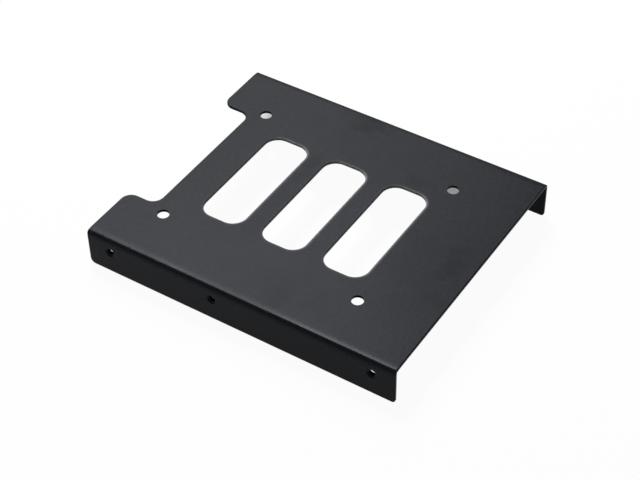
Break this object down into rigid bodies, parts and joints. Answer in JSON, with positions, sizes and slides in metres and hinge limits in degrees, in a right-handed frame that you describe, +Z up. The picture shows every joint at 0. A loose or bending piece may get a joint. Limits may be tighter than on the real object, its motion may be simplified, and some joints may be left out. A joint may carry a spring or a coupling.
{
  "type": "drive bay adapter bracket",
  "caption": "Folded sheet metal bracket that holds a small drive in a wider drive bay, with slots, plain drive holes, tapped holes in its flanges and a connector notch.",
  "frame": {"origin": "under the middle of the plate, level with the lower edges of the two flanges", "axes": "+X along the sheet away from the connector notch, +Y across it, +Z up out of the plate"},
  "size_m": [0.1194, 0.1016, 0.0145],
  "materials": {
    "black_powder_coat": "black powder coat, satin, with a fine even grain"
  },
  "bodies": {
    "root": {"bracket": "black_powder_coat"}
  },
  "joints": []
}
